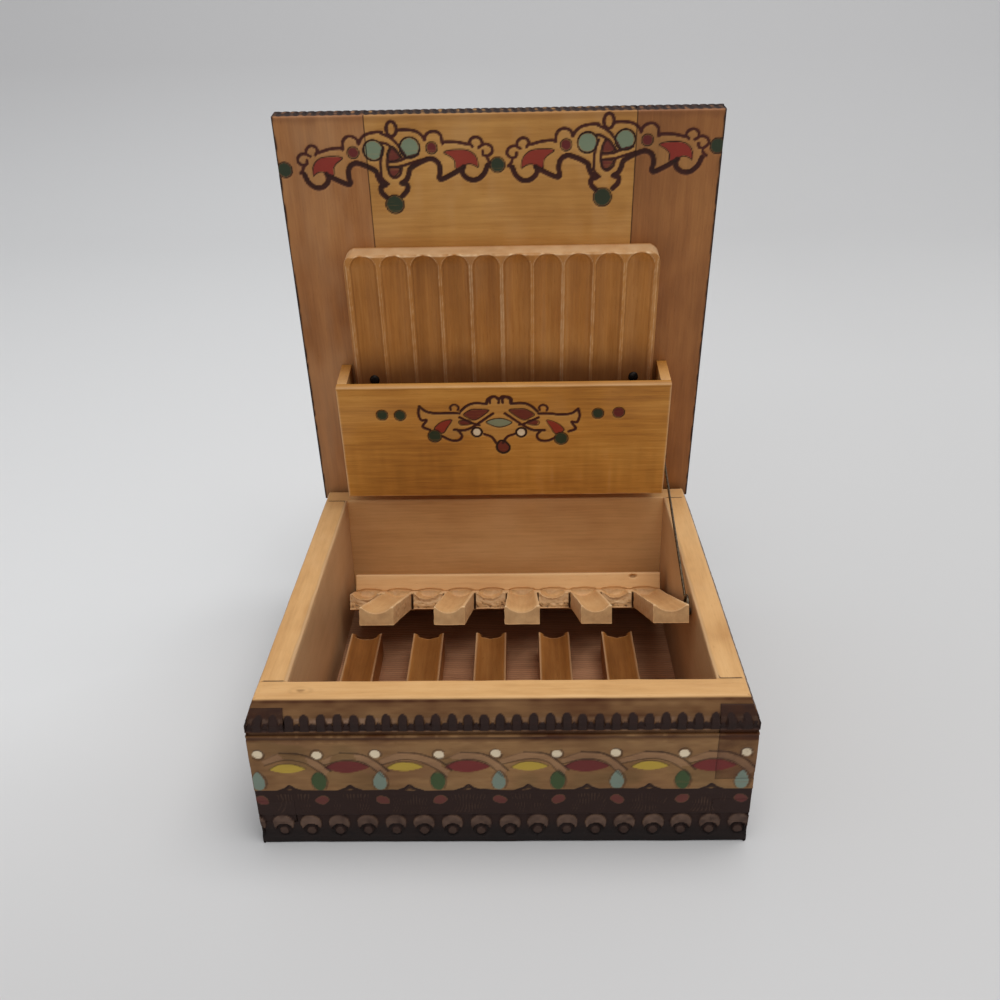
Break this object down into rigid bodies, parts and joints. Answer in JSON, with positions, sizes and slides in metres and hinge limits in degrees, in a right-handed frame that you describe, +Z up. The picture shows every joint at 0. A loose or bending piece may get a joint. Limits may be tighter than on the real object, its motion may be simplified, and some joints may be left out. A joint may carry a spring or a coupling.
{
  "type": "cigarette box",
  "caption": "Square carved wooden box for cigarettes, with a hinged lid whose pocket and fluted board hold more, and a comb that rises to offer them as the lid opens.",
  "frame": {"origin": "middle of the box's underside, on the surface it stands on", "axes": "+Z up, -Y the front with the open side of the lid, +X to the right seen from the front"},
  "size_m": [0.1358, 0.1424, 0.1782],
  "materials": {
    "wall_wood": "carved and scorched, light rim",
    "floor_ply": "plain",
    "rail_wood": "hand scooped, oiled",
    "comb_wood": "hand scooped, raw",
    "lid_panel_wood": "carved and scorched",
    "lid_stile_wood": "carved and scorched",
    "pocket_wood": "carved and scorched",
    "fluted_wood": "hand scooped, oiled",
    "steel": "drawn wire and nails, dulled"
  },
  "bodies": {
    "box": {"front_wall": "wall_wood", "back_wall": "wall_wood", "left_wall": "wall_wood", "right_wall": "wall_wood", "floor_panel": "floor_ply", "floor_nails": "steel", "rail_1": "rail_wood", "rail_2": "rail_wood", "rail_3": "rail_wood", "rail_4": "rail_wood", "rail_5": "rail_wood", "comb_pivot_pins": "steel", "hinge_eyes": "steel"},
    "lid": {"lid_centre_panel": "lid_panel_wood", "lid_left_stile": "lid_stile_wood", "lid_right_stile": "lid_stile_wood", "hinge_staples": "steel", "pocket_front": "pocket_wood", "pocket_left_cheek": "pocket_wood", "pocket_right_cheek": "pocket_wood", "pocket_floor": "pocket_wood", "cheek_wire_nail": "steel", "fluted_board": "fluted_wood", "fluted_board_screws": "steel"},
    "comb": {"comb_board": "comb_wood", "comb_stop_strip": "comb_wood", "prong_wire_nail": "steel"},
    "wire": {"lift_wire": "steel"}
  },
  "joints": [
    {"name": "lid_hinge", "type": "hinge", "parent": "box", "child": "lid", "pos_m": [0, 0.0651, 0.0459], "axis": [1, 0, 0], "range_deg": [0, 81.5]},
    {"name": "comb_hinge", "type": "hinge", "parent": "box", "child": "comb", "pos_m": [0, 0.052, 0.0111], "axis": [1, 0, 0], "range_deg": [0, 25.6]},
    {"name": "wire_pivot", "type": "hinge", "parent": "lid", "child": "wire", "pos_m": [0.0561, 0.05643, 0.06467], "axis": [1, 0, 0], "range_deg": [-74.2, 0]}
  ],
  "couplings": [
    {"joint": "comb_hinge", "follows": "lid_hinge", "ratio": 0.3141},
    {"joint": "wire_pivot", "follows": "lid_hinge", "ratio": -0.91}
  ]
}
